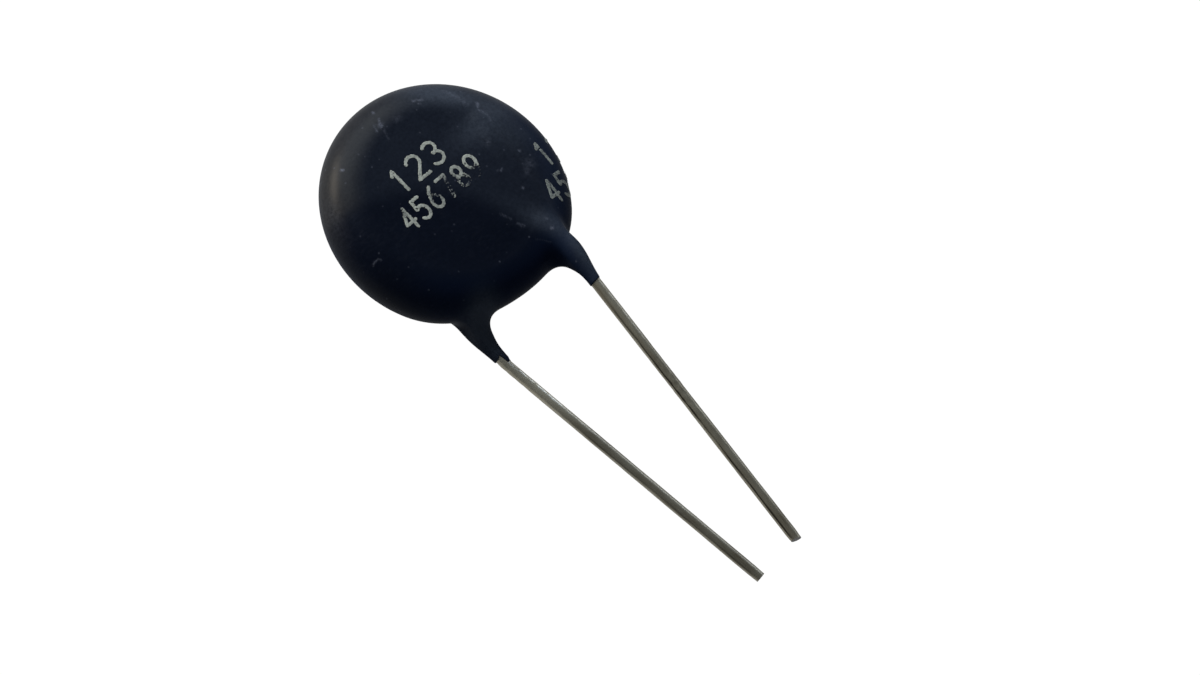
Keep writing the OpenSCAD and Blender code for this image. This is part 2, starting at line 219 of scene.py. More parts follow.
def pose():
    """Cosine and sine of the tilt, then the shift and the lift in millimetres."""
    own = bpy.context.scene.thermistor_pose
    return math.cos(own.tilt), math.sin(own.tilt), own.shift * MM, own.lift * MM


def lay_down(points):
    """Millimetres in the disc's own frame to metres on the floor."""
    c, s, shift, lift = pose()
    x, y, z = np.moveaxis(points, -1, 0)
    return np.stack([x * c + z * s, y + shift, z * c - x * s + lift], -1) / MM


def stand_up(points):
    """Metres on the floor to millimetres in the disc's own frame."""
    c, s, shift, lift = pose()
    x, y, z = np.moveaxis(points * MM, -1, 0)
    return np.stack([x * c - (z - lift) * s, y - shift, x * s + (z - lift) * c], -1)


def link(name, data):
    """A new object in the scene."""
    obj = bpy.data.objects.new(name, data)
    bpy.context.scene.collection.objects.link(obj)
    return obj


def mesh_object(name, points, faces):
    """A smooth-shaded mesh object from arrays."""
    mesh = bpy.data.meshes.new(name)
    mesh.from_pydata(points.tolist(), [], faces.tolist())
    mesh.shade_smooth()
    return link(name, mesh)


def read(data, key):
    """The vectors of a mesh's vertices, faces or attribute, as an array."""
    flat = np.empty(len(data) * 3)
    data.foreach_get(key, flat)
    return flat.reshape(-1, 3)


def store(obj, name, values, domain="POINT"):
    """Keeps one value for each vertex or face under a name that the materials read."""
    layer = obj.data.attributes.new(name, "FLOAT", domain)
    layer.data.foreach_set("value", values.astype(np.float32))


# -------- the skin's shape

# A wire in millimetres: its mouth, lean, lengths and bend, then its sleeve's radius at the mouth, taper and sink
Wire = namedtuple("Wire", "x y z lean inner out bend free mouth taper sink")

# Sag of the printed face between the wires: x, y, length, width, turn, then its depth
SAG, SAG_DEPTH = (0.5, -7.5, 7.0, 5.0, 0.0), 0.1
# Bands in from the coating's edge over which the sag and the web's blend come in
SAG_BAND, WEB_BAND = (3.2, 1.0), (3.5, 0.0)
# Heights over the middle plane: the sag's, and the crown's from a height to a share of half the thickness
SAG_RISE, CROWN_START, CROWN_SHARE = (0.2, 1.2), 0.3, 0.8
# Shares of the taper between which a web lifts, and where a ridge has sunk
LIFT_SHARES, SINK_SHARE = (0.3, 1.6), 2.4
# The left mouth's torn lip: height, step and its reach, notch's depth, place and width, front lip
LIP, LIP_STEP, LIP_NOTCH, LIP_FRONT = 0.34, (0.74, 0.12), (0.22, 0.16, 0.1), (0.35, 0.25, 0.62)
# The right mouth's cut and its slant, and the rounding of both
CUT, CUT_SLANT, EDGE_ROUND = 0.02, 0.22, 0.12
# A plane between the necks, and a distance past everything
BETWEEN_X, FAR = -0.5, 9.0


def wires(coat, leads):
    """The left wire, on the rear face, and the right wire, on the front face."""
    out = []
    for k, side in enumerate((-1, 1)):
        own = {name: getattr(leads, name)[k] * MM for name in ("x", "y", "inner", "out", "free")}
        own.update({name: getattr(coat, name)[k] * MM for name in ("mouth", "taper", "sink")})
        out.append(Wire(z=side * coat.wire_height * MM, lean=leads.lean[k], bend=leads.bend[k], **own))
    return out


class Skin:
    """Signed distance to the dipped skin, in millimetres in the disc's own frame."""

    def __init__(self, coat, leads):
        for name in ("diameter", "thickness", "flat", "ridge", "rim_reach", "crown", "face_blend",
                     "web_blend_in", "web_blend_out", "web_lift"):
            setattr(self, name, getattr(coat, name) * MM)
        self.r, self.h = self.diameter / 2, self.thickness / 2
        self.flat_middle, self.flat_half = math.degrees(coat.flat_middle), math.degrees(coat.flat_half)
        self.rear, self.front = wires(coat, leads)

    def disc(self, x, y, z):
        """The round body with its elliptical rim, the flat between the wires, the crown and the sag."""
        rho = np.hypot(x, y)
        turn = np.degrees(np.arctan2(x, -y))
        core = self.r - self.rim_reach
        reach = self.rim_reach - self.flat * (1 - ease(0, self.flat_half, np.abs(turn - self.flat_middle)))
        full = self.crown * (1 - ease(0, 1, (rho / core) ** 2)) * ease(CROWN_START, CROWN_SHARE * self.h, z)
        inside = 1 - ease(self.r - SAG_BAND[0], self.r - SAG_BAND[1], rho)
        sunk = SAG_DEPTH * hump(x, y, SAG) * inside * ease(*SAG_RISE, z)
        return np.hypot(np.maximum(rho - core, 0) * self.h / reach, z) - self.h + sunk - full

    def along(self, x, y, wire):
        """Distances up a wire from its mouth, and across it."""
        dx, dy = x - wire.x, y - wire.y
        c, s = math.cos(wire.lean), math.sin(wire.lean)
        return dx * s + dy * c, dx * c - dy * s

    def sleeve(self, x, y, z, wire):
        """The resin round a wire: tapered at the neck, drawn up to a web, sunk again on the face."""
        up, across = self.along(x, y, wire)
        radius = wire.mouth + (self.ridge - wire.mouth) * ease(0, wire.taper, up)
        radius = radius - wire.sink * ease(wire.taper, SINK_SHARE * wire.taper, up)
        lift = self.web_lift * ease(LIFT_SHARES[0] * wire.taper, LIFT_SHARES[1] * wire.taper, up)
        inwards = (wire.z - z) * math.copysign(1, wire.z)
        off = np.minimum(inwards, 0) + np.maximum(inwards - lift, 0)
        return np.sqrt(across ** 2 + np.maximum(up - wire.inner, 0) ** 2 + off ** 2) - radius

    def web(self, x, y, wire, side):
        """Reach of the fillet round a wire: small on the face and outside the neck, wide between the leads."""
        across = self.along(x, y, wire)[1]
        wide = self.web_blend_out + (self.web_blend_in - self.web_blend_out) * ease(-1.0, 1.0, across * side)
        band = ease(self.r - WEB_BAND[0], self.r - WEB_BAND[1], np.hypot(x, y))
        return self.face_blend + (wide - self.face_blend) * band

    def mouths(self, x, y, z):
        """The torn end of the left neck and the plain end of the right one."""
        up, across = self.along(x, y, self.rear)
        depth, place, width = LIP_NOTCH
        lip = LIP - LIP_STEP[0] * ease(-LIP_STEP[1], LIP_STEP[1], across)
        lip = lip + depth * np.exp(-(((across + place) / width) ** 2))
        lip = lip + LIP_FRONT[0] * ease(*LIP_FRONT[1:], across) * (z > self.rear.z)
        left = np.where(x < BETWEEN_X, lip - up, -FAR)
        up, across = self.along(x, y, self.front)
        return left, np.where(x > BETWEEN_X, CUT + CUT_SLANT * across - up, -FAR)

    def __call__(self, p):
        x, y, z = p[..., 0], p[..., 1], p[..., 2]
        whole = self.disc(x, y, z)
        for wire, side in ((self.rear, 1), (self.front, -1)):
            whole = soft_min(whole, self.sleeve(x, y, z, wire), self.web(x, y, wire, side))
        for end in self.mouths(x, y, z):
            whole = soft_max(whole, end, EDGE_ROUND)
        return whole

    def slope(self, p, reach=0.01):
        """Gradient of the distance."""
        steps = np.eye(3) * reach
        return np.stack([(self(p + e) - self(p - e)) / (2 * reach) for e in steps], -1)

    def settle(self, p, rounds=3):
        """Moves points onto the skin."""
        for _ in range(rounds):
            g = self.slope(p)
            p = p - g * (self(p) / np.maximum((g * g).sum(-1), 1e-6))[..., None]
        return p

    def top(self, x, y):
        """Points of the printed face over x, y, by halving between two heights."""
        low, high = np.full_like(x, 1.0), np.full_like(x, 5.0)
        for _ in range(22):
            mid = (low + high) / 2
            inside = self(np.stack([x, y, mid], -1)) < 0
            low, high = np.where(inside, mid, low), np.where(inside, high, mid)
        return np.stack([x, y, (low + high) / 2], -1)


def net_over(shape, low, high, step):
    """Quads over the surface where a distance is zero: one point for each grid cell that it crosses."""
    axes = [np.arange(a, b + step, step) for a, b in zip(low, high)]
    grid = np.stack(np.meshgrid(*axes, indexing="ij"), -1)
    value = np.concatenate([shape(part) for part in np.array_split(grid, 12)])
    inside = value < 0
    cells = np.array(value.shape) - 1
    corners, unit = list(np.ndindex(2, 2, 2)), np.eye(3, dtype=int)
    count = sum(inside[tuple(slice(m, m + size) for m, size in zip(c, cells))].astype(int) for c in corners)
    mixed = (count > 0) & (count < 8)
    index = np.full(cells, -1)
    index[mixed] = np.arange(mixed.sum())
    where = np.argwhere(mixed)
    total, hits = np.zeros((len(where), 3)), np.zeros(len(where))
    for a, axis in ((a, axis) for a in corners for axis in range(3) if not a[axis]):
        b = tuple(a[m] + (m == axis) for m in range(3))
        fa, fb = (value[tuple((where + c).T)] for c in (a, b))
        crossed = (fa < 0) != (fb < 0)
        t = np.where(crossed, fa / np.where(crossed, fa - fb, 1.0), 0.0)
        total += (where + np.array(a) + t[:, None] * unit[axis]) * crossed[:, None]
        hits += crossed
    points = np.array(low) + total / hits[:, None] * step
    quads = []
    for axis in range(3):
        offset, ea, eb = 1 - unit[axis], unit[(axis + 1) % 3], unit[(axis + 2) % 3]
        first, second = [slice(1, -1)] * 3, [slice(1, -1)] * 3
        first[axis], second[axis] = slice(0, -1), slice(1, None)
        here, there = inside[tuple(first)], inside[tuple(second)]
        for flag, order in ((here & ~there, 1), (~here & there, -1)):
            w = np.argwhere(flag) + offset
            quad = np.stack([index[tuple(q.T)] for q in (w, w - ea, w - ea - eb, w - eb)], -1)
            quads.append(quad[:, ::order])
    return points, np.concatenate(quads)


# -------- node helpers


class Nodes:
    """Adds nodes to a tree, in rows, and joins them."""

    def __init__(self, tree):
        self.tree = tree

    def add(self, kind, inputs=None, **settings):
        """A new node. A kind without the word Node is a shader node."""
        node = self.tree.nodes.new(kind if "Node" in kind else "ShaderNode" + kind)
        count = len(self.tree.nodes)
        node.location = (180 * (count % 12), -260 * (count // 12))
        for key, value in settings.items():
            setattr(node, key, value)
        self.fill(node, inputs or {})
        return node

    def fill(self, node, inputs):
        for key, value in inputs.items():
            if isinstance(value, bpy.types.NodeSocket):
                self.tree.links.new(value, node.inputs[key])
            else:
                node.inputs[key].default_value = value

    def place(self):
        return self.add("TexCoord").outputs["Object"]

    def fact(self, name):
        return self.add("Attribute", attribute_name=name).outputs["Fac"]

    def math(self, operation, a, b=0.0, clamp=False):
        return self.add("Math", {0: a, 1: b}, operation=operation, use_clamp=clamp).outputs[0]

    def times(self, a, b, clamp=False):
        return self.math("MULTIPLY", a, b, clamp)

    def plus(self, a, b, clamp=False):
        return self.math("ADD", a, b, clamp)

    def remap(self, value, low, high, to_low=0.0, to_high=1.0):
        return self.add("MapRange", {"Value": value, "From Min": low, "From Max": high, "To Min": to_low,
                                     "To Max": to_high}).outputs["Result"]

    def noise(self, vector, scale, detail, roughness, w):
        return self.add("TexNoise", {"Vector": vector, "Scale": scale, "Detail": detail, "Roughness": roughness,
                                     "W": w}, noise_dimensions="4D").outputs["Fac"]

    def stretch(self, vector, x, y, z):
        return self.add("VectorMath", {0: vector, 1: (x, y, z)}, operation="MULTIPLY").outputs[0]

    def mix(self, factor, a, b):
        return self.add("Mix", {0: factor, 6: a, 7: b}, data_type="RGBA").outputs[2]

    def bump(self, height, strength, distance, **normal):
        given = {"Strength": strength, "Distance": distance, "Height": height, **normal}
        return self.add("Bump", given).outputs["Normal"]


def rgba(rgb, factor=1.0):
    """A colour, made lighter or darker by a factor, with full alpha."""
    return (rgb[0] * factor, rgb[1] * factor, rgb[2] * factor, 1.0)


def bare_material(name):
    """A material with an empty node tree, and its node adder."""
    material = bpy.data.materials.new(name)
    material.use_nodes = True
    material.node_tree.nodes.clear()
    return material, Nodes(material.node_tree)


def new_material(name):
    """A material with a Principled shader, its node adder and the shader."""
    material, n = bare_material(name)
    shader = n.add("BsdfPrincipled")
    n.add("OutputMaterial", {"Surface": shader.outputs[0]})
    return material, n, shader


def resin_material(coat):
    """Satin navy-black resin with orange peel, scuffs and dust, painted sheen, painted highlights and painted
    fill light on its low side.
    """
    material, n, shader = new_material("dipped_resin")
    place = n.place()
    scuff_and_highlight, painted_sheen, warm_highlight, low_side = (n.fact(name) for name in ("scuff_and_highlight", "painted_sheen", "warm_highlight", "low_side"))
    cloud = n.noise(place, 170.0, 4.0, 0.55, 1.7)
    fine = n.noise(place, 3400.0, 5.0, 0.75, 4.1)
    streak = n.noise(n.stretch(place, 1.0, 2.4, 1.0), 1500.0, 6.0, 0.7, 8.3)
    cells = n.add("TexVoronoi", {"Vector": place, "Scale": 900.0})
    pick = n.remap(n.noise(place, 900.0, 2.0, 0.5, 2.2), 0.3, 0.56)
    speck = n.times(n.remap(cells.outputs["Distance"], 0.11, 0.03), pick, True)
    rubbed = n.times(scuff_and_highlight, n.remap(fine, 0.36, 0.6), True)
    haze = n.times(n.remap(cloud, 0.4, 0.7), n.remap(streak, 0.5, 0.8, 0.0, 0.1), True)
    # Rubbed places, dust and specks, with the painted highlight arcs
    dirt_and_highlight = n.plus(n.plus(rubbed, haze, True), n.times(speck, 0.36), True)
    grain = n.remap(fine, 0.3, 0.7, 0.6, 1.4)
    # Painted sheen, broken up by the grain and the clouds
    sheen_amount = n.times(painted_sheen, n.times(grain, n.remap(cloud, 0.25, 0.75, 0.85, 1.15)))
    shade = n.mix(fine, rgba(coat.base, 0.5), rgba(coat.base, 1.5))
    # Painted fill light: the base is made lighter on the low side and the rear, which the lamps leave dark
    shade = n.mix(low_side, shade, rgba(coat.base, 2.4))
    # Painted highlight: the sheen turns warm on the upper left edge
    pale = n.mix(warm_highlight, rgba(coat.painted_sheen, 2), rgba(coat.warm_highlight_colour, 2))
    shade = n.mix(n.times(sheen_amount, 0.5, True), shade, pale)
    rough = n.remap(fine, 0.2, 0.8, coat.roughness - 0.05, coat.roughness + 0.07)
    peel = n.bump(n.noise(place, 900.0, 2.0, 0.5, 6.0), 0.35, 0.00004)
    n.fill(shader, {
        "Base Color": n.mix(dirt_and_highlight, shade, rgba(coat.worn)),
        "Roughness": n.plus(rough, n.times(dirt_and_highlight, 0.2), True),
        "Specular IOR Level": n.remap(low_side, 0.0, 1.0, coat.gloss, coat.gloss * 0.12),
        "Normal": n.bump(n.plus(fine, speck), 0.25, 0.00001, Normal=peel),
    })
    return material


def ink_material(stamp, coat):
    """Matt pale ink, thin where it is rubbed."""
    material, n, shader = new_material("stamp_ink")
    mottle = n.noise(n.place(), 5200.0, 4.0, 0.6, 3.0)
    thin = n.plus(n.fact("fade"), n.remap(mottle, 0.42, 0.7, 0.0, 0.5), True)
    n.fill(shader, {
        "Base Color": n.mix(thin, rgba(stamp.ink), rgba(coat.base, 2)),
        "Roughness": n.remap(mottle, 0.3, 0.7, 0.55, 0.75),
        "IOR": 1.4,
        "Normal": n.bump(mottle, 0.3, 0.00001),
    })
    return material


# Lengths along a wire over which its painted glints and painted light fade out, and how much of them stays
LIGHT_FADE_FROM, LIGHT_FADE_TO, LIGHT_FADE_SHARE = 0.022, 0.029, 0.2
# Colour of the painted glints
GLINT = (0.95, 0.95, 0.9, 1.0)


def wire_material(name, leads, shine, groove):
    """Dull tinned copper with drawn lines, nicks and stains, along the wire's own length, with a painted
    highlight, painted glints, painted reflection lines and painted light near the mouth.
    """
    material, n, shader = new_material(name)
    run = n.add("Attribute", attribute_name="run", attribute_type="GEOMETRY").outputs["Vector"]

    def streak(squash, *noise):
        return n.noise(n.stretch(run, 1.0, squash, 1.0), *noise)

    def band(degrees, inner, outer):
        """A line along the wire at a turn round it, full and ending at these half widths in degrees."""
        c, s = (f(math.radians(degrees)) / (leads.diameter / 2) for f in (math.cos, math.sin))
        dot = n.add("VectorMath", {0: run, 1: (c, 0.0, s)}, operation="DOT_PRODUCT")
        return n.remap(dot.outputs["Value"], math.cos(math.radians(outer)), math.cos(math.radians(inner)))

    # Painted lines at fixed turns round the wire: a highlight, a dark reflection and the pale floor's reflection
    highlight_line, dark, pale = band(72.0, 7.0, 18.0), band(147.0, 7.0, 14.0), band(180.0, 10.0, 22.0)
    drawn = streak(0.02, 5200.0, 4.0, 0.6, 2.0)
    stain = streak(0.15, 1500.0, 5.0, 0.62, 5.0)
    spots = streak(0.4, 3600.0, 4.0, 0.6, 9.0)
    breaks = n.remap(streak(0.1, 2200.0, 2.0, 0.5, 12.0), 0.36, 0.5)
    dull = n.plus(n.remap(stain, 0.4, 0.66), n.remap(spots, 0.5, 0.8, 0.0, 0.3), True)
    along = n.add("SeparateXYZ", {0: run}).outputs["Y"]
    # Painted light near the mouth, where the disc shades the wire, fading further down
    near = n.remap(along, LIGHT_FADE_FROM, LIGHT_FADE_TO, 1.0, LIGHT_FADE_SHARE)
    glints = n.math("MAXIMUM", n.remap(spots, 0.4, 0.5), n.math("SUBTRACT", 1.0, near))
    # Painted highlight with glints along its line
    lit = n.times(n.times(highlight_line, glints), n.times(near, shine), True)
    # Painted light: the tin is lightened near the mouth
    clean = n.times(n.math("SUBTRACT", near, 0.35), shine, True)
    tin = n.mix(dull, rgba(leads.tin), rgba(leads.tarnish))
    # Painted dark reflection: a broken dark line along the wire
    tin = n.mix(n.times(n.times(dark, breaks), groove), tin, rgba(leads.tarnish, 0.22))
    # Painted reflection of the pale floor, a light line along the wire's left edge
    tin = n.mix(n.times(pale, 0.45), tin, rgba(leads.tin, 1.9))
    tin = n.mix(clean, tin, rgba(leads.tin, 2.2))
    tin = n.mix(lit, tin, GLINT)
    n.fill(shader, {
        "Base Color": n.mix(n.fact("cut"), tin, rgba(leads.tarnish, 0.25)),
        "Metallic": 0.7,
        "Roughness": n.remap(n.math("SUBTRACT", n.plus(dull, drawn), lit), -0.4, 1.6, 0.22, 0.42),
        "Normal": n.bump(spots, 0.12, 0.00002, Normal=n.bump(drawn, 0.3, 0.00002)),
    })
    return material


# Finishes of the unseen solids: the grain's stretch, scale, detail and roughness, the spread of its tones,
# the share of clouds, two colours, two roughnesses, metallic, the bump's strength and depth
INNER = {
    "sintered_oxide": (1.0, (5000.0, 6.0, 0.7), (0.3, 0.7), 0.4, (0.03, 0.028, 0.026), (0.085, 0.078, 0.07),
                       (0.6, 0.85), 0.0, (0.5, 0.00002)),
    "fired_silver": (0.08, (3800.0, 4.0, 0.6), (0.3, 0.7), 0.0, (0.72, 0.71, 0.67), (0.86, 0.85, 0.82),
                     (0.42, 0.58), 1.0, (0.4, 0.00001)),
    "frosted_solder": (1.0, (2400.0, 5.0, 0.65), (0.35, 0.65), 0.0, (0.42, 0.42, 0.43), (0.62, 0.62, 0.62),
                       (0.25, 0.5), 1.0, (0.4, 0.00003)),
}


def inner_material(name):
    """The finish of a solid inside the coating."""
    squash, noise, spread, clouds, dark, pale, rough, metallic, bump = INNER[name]
    material, n, shader = new_material(name)
    place = n.place()
    grain = n.noise(n.stretch(place, 1.0, squash, 1.0), *noise, 1.0)
    cloud = n.remap(n.noise(place, 400.0, 3.0, 0.5, 2.0), 0.4, 0.6, 0.0, clouds)
    n.fill(shader, {
        "Base Color": n.mix(n.plus(n.remap(grain, *spread, 0.0, 1.0 - clouds), cloud), rgba(dark), rgba(pale)),
        "Metallic": metallic,
        "Roughness": n.remap(grain, 0.3, 0.7, *rough),
        "Normal": n.bump(grain, *bump),
    })
    return material


# -------- wires

# Finish of each wire: seed, rough stretch in metres, the cut end's squeeze, its length and slant in
# millimetres, and the strength of the painted highlight and light and of the painted dark line
Finish = namedtuple("Finish", "seed rough_from rough_length squeeze span slant shine groove")
FINISHES = {
    "rear": Finish(1.0, 0.0, 0.011, 0.07, 1.3, 0.0, 1.0, 0.5),
    "front": Finish(4.0, 0.012, 0.006, 0.1, 1.0, 0.25, 0.2, 1.0),
}
# How much the cut end's faces look along the wire, and the length over which its slant dies out
CUT_FACING, SLANT_REACH = 0.8, 0.6


def wire_path(wire, radius):
    """Points of a wire's axis from its soldered end down to its cut end, in millimetres."""
    bend, out = wire.bend, wire.out
    local = [(0.0, wire.inner), (0.0, -out)]
    local += [(radius * (1 - math.cos(t)), -out - radius * math.sin(t)) for t in np.linspace(0, bend, 13)[1:]]
    last = local[-1]
    local.append((last[0] + wire.free * math.sin(bend), last[1] - wire.free * math.cos(bend)))
    c, s = math.cos(wire.lean), math.sin(wire.lean)
    return np.array([(wire.x + u * c + v * s, wire.y - u * s + v * c, wire.z) for u, v in local])


def tube_tree(name, material, sizes):
    """Geometry Nodes that sweep a wire along its path and put ripples and nicks in its tin."""
    tree = bpy.data.node_groups.new(name, "GeometryNodeTree")
    for way in ("INPUT", "OUTPUT"):
        tree.interface.new_socket("Wire", in_out=way, socket_type="NodeSocketGeometry")
    for label, size in sizes.items():
        kind = "NodeSocketInt" if isinstance(size, int) else "NodeSocketFloat"
        tree.interface.new_socket(label, in_out="INPUT", socket_type=kind)
    n = Nodes(tree)

    def made(kind, inputs=None, **settings):
        return n.add("GeometryNode" + kind, inputs, **settings).outputs[0]

    def keep(geometry, label, value, kind="FLOAT"):
        return made("StoreNamedAttribute", {"Geometry": geometry, "Name": label, "Value": value},
                    data_type=kind, domain="POINT")

    def kept(label, kind="FLOAT"):
        return made("InputNamedAttribute", {"Name": label}, data_type=kind)

    given = n.add("NodeGroupInput").outputs
    curve = made("MeshToCurve", {0: given["Wire"]})
    place = n.add("GeometryNodeSplineParameter").outputs
    rings = made("ResampleCurve", {"Curve": curve, "Length": given["Ring step"]}, mode="LENGTH")
    circle = made("CurvePrimitiveCircle", {"Resolution": given["Sides"], "Radius": given["Radius"]})
    rings, circle = keep(rings, "along", place["Length"]), keep(circle, "around", place["Factor"])
    tube = made("CurveToMesh", {"Curve": rings, "Profile Curve": circle, "Fill Caps": True})
    along, turn = kept("along"), n.times(kept("around"), 2 * math.pi)
    x, z = (n.times(n.math(wave, turn), given["Radius"]) for wave in ("COSINE", "SINE"))
    run = n.add("CombineXYZ", {"X": x, "Y": along, "Z": z}).outputs[0]
    tube = keep(tube, "run", run, "FLOAT_VECTOR")
    run = kept("run", "FLOAT_VECTOR")
    ripple = n.noise(n.stretch(run, 1.0, 0.3, 1.0), 1700.0, 3.0, 0.55, given["Seed"])
    lumps = n.noise(n.stretch(run, 1.0, 0.7, 1.0), 2300.0, 2.0, 0.5, n.plus(given["Seed"], 5.0))
    off = n.math("ABSOLUTE", n.math("SUBTRACT", along, given["Rough start"]))
    rough = n.math("SUBTRACT", 1.0, n.math("DIVIDE", off, given["Rough length"]), True)
    depth = n.plus(n.remap(ripple, 0.4, 0.8), n.times(n.remap(lumps, 0.4, 0.65, 0.0, 1.3), rough))
    inward = n.times(n.times(depth, given["Dent depth"]), -1.0)
    move = n.add("VectorMath", {0: made("InputNormal"), "Scale": inward}, operation="SCALE").outputs[0]
    tube = made("SetShadeSmooth", {0: made("SetPosition", {"Geometry": tube, "Offset": move})})
    tube = made("SetMaterial", {"Geometry": made("RealizeInstances", {0: tube}), "Material": material})
    n.add("NodeGroupOutput", {"Wire": tube})
    return tree


def swept_wire(name, path, tree, sizes):
    """The wire as a plain mesh object, from the node tree."""
    mesh = bpy.data.meshes.new(name + "_path")
    mesh.from_pydata(lay_down(path).tolist(), [(i, i + 1) for i in range(len(path) - 1)], [])
    guide = link(name + "_path", mesh)
    modifier = guide.modifiers.new("tube", "NODES")
    modifier.node_group = tree
    for item in tree.interface.items_tree:
        if item.name in sizes:
            modifier[item.identifier] = sizes[item.name]
    made = evaluated_mesh(guide, name)
    bpy.data.objects.remove(guide)
    bpy.data.meshes.remove(mesh)
    return link(name, made)


def evaluated_mesh(obj, name):
    """The mesh that an object's modifiers make."""
    bpy.context.view_layer.update()
    made = bpy.data.meshes.new_from_object(obj.evaluated_get(bpy.context.evaluated_depsgraph_get()))
    if len(made.vertices) < 1000:
        raise RuntimeError(name + " came out empty")
    made.name = name
    return made


def shape_tip(obj, tip, way, own):
    """Presses the cut end in from both sides, and slants the cut, as side cutters leave it."""
    p = stand_up(read(obj.data.vertices, "co"))
    side = np.array([way[1], -way[0], 0.0])
    along, across = (tip - p) @ way, (p - tip) @ side
    near = along < own.span
    weight = 1 - ease(0, own.span, along)
    p = p - (across * weight * own.squeeze * near)[:, None] * side
    slant = -own.slant * np.maximum(across + 0.5, 0) * (1 - ease(0.0, SLANT_REACH, along))
    p = p + way * slant[:, None] * near[:, None]
    obj.data.vertices.foreach_set("co", lay_down(p).ravel())
    obj.data.update()


# -------- stamp

# Strokes of the plain digits in a box 1 wide and 2 high: lines of points, and arcs as
# (centre x, centre y, radius x, radius y, from, to) with degrees from the right, turning left
DIGITS = {
    "1": [[(0.3, 1.62), (0.55, 2.0), (0.55, 0.0)]],
    "2": [(0.5, 1.45, 0.5, 0.55, 160, -42), [(0.87, 1.08), (0.0, 0.0), (1.0, 0.0)]],
    "3": [(0.45, 1.5, 0.48, 0.5, 140, -88), (0.45, 0.52, 0.53, 0.52, 88, -145)],
    "4": [[(0.75, 0.0), (0.75, 2.0), (0.0, 0.62), (1.0, 0.62)]],
    "5": [[(0.92, 2.0), (0.16, 2.0), (0.08, 1.12)], (0.45, 0.62, 0.53, 0.62, 128, -140)],
    "6": [(0.5, 0.6, 0.5, 0.6, 0, 360), [(0.02, 0.72), (0.3, 1.5), (0.75, 2.0)]],
    "7": [[(0.0, 2.0), (1.0, 2.0), (0.35, 0.0)]],
    "8": [(0.5, 1.5, 0.42, 0.48, 0, 360), (0.5, 0.52, 0.5, 0.52, 0, 360)],
    "9": [(0.5, 1.4, 0.5, 0.6, 0, 360), [(0.98, 1.28), (0.7, 0.5), (0.25, 0.0)]],
    "0": [(0.5, 1.0, 0.5, 1.0, 0, 360)],
}
# The stamp and its second, weaker print: shift in X and Y in millimetres, and strength
PRINTS = ((0.0, 0.0, 1.0), (12.05, -6.2, 0.6))
# Each line of the stamp: left X, pitch, base Y, then a digit's width and height
TOP_LINE, LOW_LINE = (-3.85, 2.12, 2.55, 1.28, 2.2), (-5.65, 1.62, -0.45, 0.98, 2.05)
# Places where the print is rubbed off, in millimetres: x, y, reach
RUBBED = ((0.4, 0.9, 0.7), (2.6, -0.5, 0.9), (-0.5, 0.2, 1.0), (1.5, -0.35, 0.6), (2.9, 0.0, 0.5),
          (-5.3, 1.4, 0.5), (-1.9, 0.4, 0.5))
# Share of the ink that is gone, and what rubbing, a weak print and a thick patch add to it
GONE, GONE_RUBBED, GONE_WEAK, GONE_THICK = 0.27, 0.33, 0.1, -0.14
# What rubbing, a weak print and a thick patch add to the ink's fading
FADE_RUBBED, FADE_WEAK, FADE_THICK = 0.525, 0.7, 0.25
# Room round a digit, the wobble of its edge, the depth of the film's underside and the bare rim
MARGIN, WOBBLE, ROOT, BARE_RIM = 0.3, 0.07, 0.004, 0.12


def strokes_of(digit):
    """Segments of one digit, as an array of start and end points."""
    out = []
    for part in DIGITS[digit]:
        line = np.array(part)
        if isinstance(part, tuple):
            cx, cy, rx, ry, a, b = part
            t = np.radians(np.linspace(a, b, 25))
            line = np.stack([cx + rx * np.cos(t), cy + ry * np.sin(t)], -1)
        out += list(zip(line[:-1], line[1:]))
    return np.array(out)


def stamp_layout(stamp):
    """Every printed digit as (digit, left x, base y, width, height, strength)."""
    for dx, dy, strength in PRINTS:
        for text, (left, pitch, base, width, height) in ((stamp.top_line, TOP_LINE), (stamp.low_line, LOW_LINE)):
            for i, digit in enumerate(text):
                yield digit, left + pitch * i + dx, base + dy, width, height, strength


def stroke_distance(u, v, segments):
    """Distance in a plane to the nearest of some segments."""
    best = np.full(u.shape, FAR)
    for (ax, ay), (bx, by) in segments:
        dx, dy = bx - ax, by - ay
        t = np.clip(((u - ax) * dx + (v - ay) * dy) / max(dx * dx + dy * dy, 1e-9), 0, 1)
        best = np.minimum(best, np.hypot(u - ax - t * dx, v - ay - t * dy))
    return best


def worn_digit(u, v, lines, half, strength):
    """Distance to a digit's worn outline over a grid, and how faded its ink is."""
    rubbed = sum(np.exp(-(((u - a) ** 2 + (v - b) ** 2) / c ** 2)) for a, b, c in RUBBED)
    grit = lattice_noise(u, v, 0.12, 5) * 0.6 + lattice_noise(u, v, 0.05, 6) * 0.4
    patch = lattice_noise(u, v, 0.5, 7)
    shape = stroke_distance(u, v, lines) - half + (lattice_noise(u, v, 0.09, 8) - 0.5) * WOBBLE
    gone = GONE + GONE_RUBBED * rubbed + GONE_WEAK * (1 - strength) + GONE_THICK * (1 - patch)
    fade = FADE_RUBBED * rubbed + FADE_WEAK * (1 - strength) + FADE_THICK * (1 - patch)
    return np.maximum(shape, (gone - grit) * 0.3), np.clip(fade, 0, 1)


